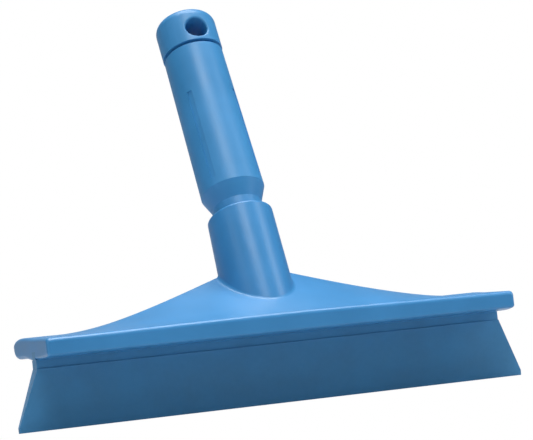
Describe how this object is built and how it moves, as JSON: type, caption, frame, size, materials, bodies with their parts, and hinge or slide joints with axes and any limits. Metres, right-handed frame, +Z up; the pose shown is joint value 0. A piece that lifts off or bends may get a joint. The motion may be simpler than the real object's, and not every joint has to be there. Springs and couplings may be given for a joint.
{
  "type": "bench squeegee with screw-in handle",
  "caption": "One-blade squeegee with a rubber blade in a winged plastic head and a short screw-in grip that ends in a hanging cap.",
  "frame": {"origin": "middle of the rubber blade's working edge", "axes": "+X along the blade, +Y to the back, towards which the handle leans, +Z up from the working edge to the head"},
  "size_m": [0.245, 0.1064, 0.1929],
  "materials": {
    "head_plastic": "satin moulded polypropylene",
    "grip_plastic": "fine satin moulded polypropylene",
    "cap_plastic": "satin moulded polypropylene",
    "blade_rubber": "dull smooth elastomer"
  },
  "bodies": {
    "head": {"squeegee_head": "head_plastic", "rubber_blade": "blade_rubber"},
    "handle": {"grip_handle": "grip_plastic", "hanging_cap": "cap_plastic"}
  },
  "joints": [
    {"name": "handle_out", "type": "slide", "parent": "head", "child": "handle", "axis": [0, 0.4226, 0.9063], "range_m": [0, 0.036]}
  ]
}
